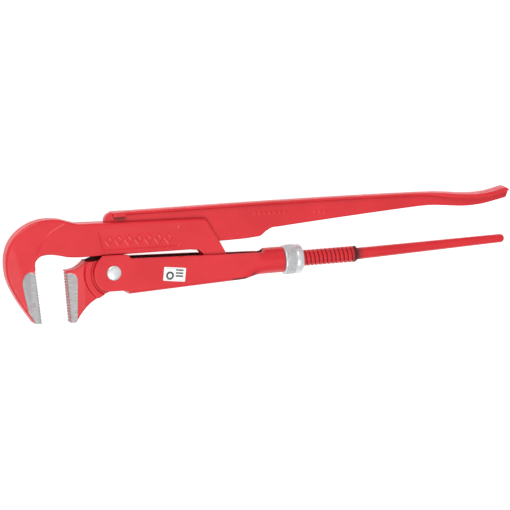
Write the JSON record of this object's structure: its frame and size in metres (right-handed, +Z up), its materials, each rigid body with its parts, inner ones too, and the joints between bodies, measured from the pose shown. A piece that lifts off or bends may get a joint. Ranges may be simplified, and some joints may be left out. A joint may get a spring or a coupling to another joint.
{
  "type": "pipe wrench",
  "caption": "Swedish-pattern pipe wrench with right-angle toothed jaws, a sliding housing on a threaded leg, a knurled adjusting nut and a T-bar upper handle.",
  "frame": {"origin": "bottom centre of the tool's bounding box, with the tool lying on its flat side", "axes": "+X along the threaded leg from the jaws to the handle ends, +Y from the threaded leg towards the upper handle, +Z up through the tool's thickness"},
  "size_m": [0.4238, 0.0852, 0.024],
  "materials": {
    "red_enamel": "gloss",
    "plain_steel": "satin",
    "zinc_plate": "bright zinc",
    "label_film": "satin"
  },
  "bodies": {
    "upper_leg": {"hook_jaw": "red_enamel", "upper_handle": "red_enamel", "handle_rivet_front": "red_enamel", "handle_rivet_rear": "red_enamel", "leg_pivot_pin": "plain_steel"},
    "threaded_leg": {"threaded_leg": "red_enamel"},
    "housing": {"housing": "red_enamel", "jaw_rivet": "zinc_plate", "jaw_spring": "plain_steel", "spring_rivet": "zinc_plate", "nut_retaining_ring": "plain_steel", "label": "label_film"},
    "adjusting_nut": {"adjusting_nut": "zinc_plate"},
    "lower_jaw": {"lower_jaw": "red_enamel"}
  },
  "joints": [
    {"name": "leg_pivot", "type": "hinge", "parent": "upper_leg", "child": "threaded_leg", "pos_m": [-0.03735, -0.00686, 0.012], "axis": [0, 0, 1], "range_deg": [0, 6]},
    {"name": "jaw_adjust", "type": "slide", "parent": "threaded_leg", "child": "housing", "axis": [1, 0, 0], "range_m": [-0.022, 0.038]},
    {"name": "nut_spin", "type": "hinge", "parent": "housing", "child": "adjusting_nut", "pos_m": [0.02115, -0.00686, 0.012], "axis": [1, 0, 0], "range_deg": [-2270, 3915]},
    {"name": "jaw_pivot", "type": "hinge", "parent": "housing", "child": "lower_jaw", "pos_m": [-0.12335, -0.00486, 0.012], "axis": [0, 0, 1], "range_deg": [0, 8]}
  ],
  "couplings": [
    {"joint": "nut_spin", "follows": "jaw_adjust", "rad_per_m": 1795.2}
  ]
}
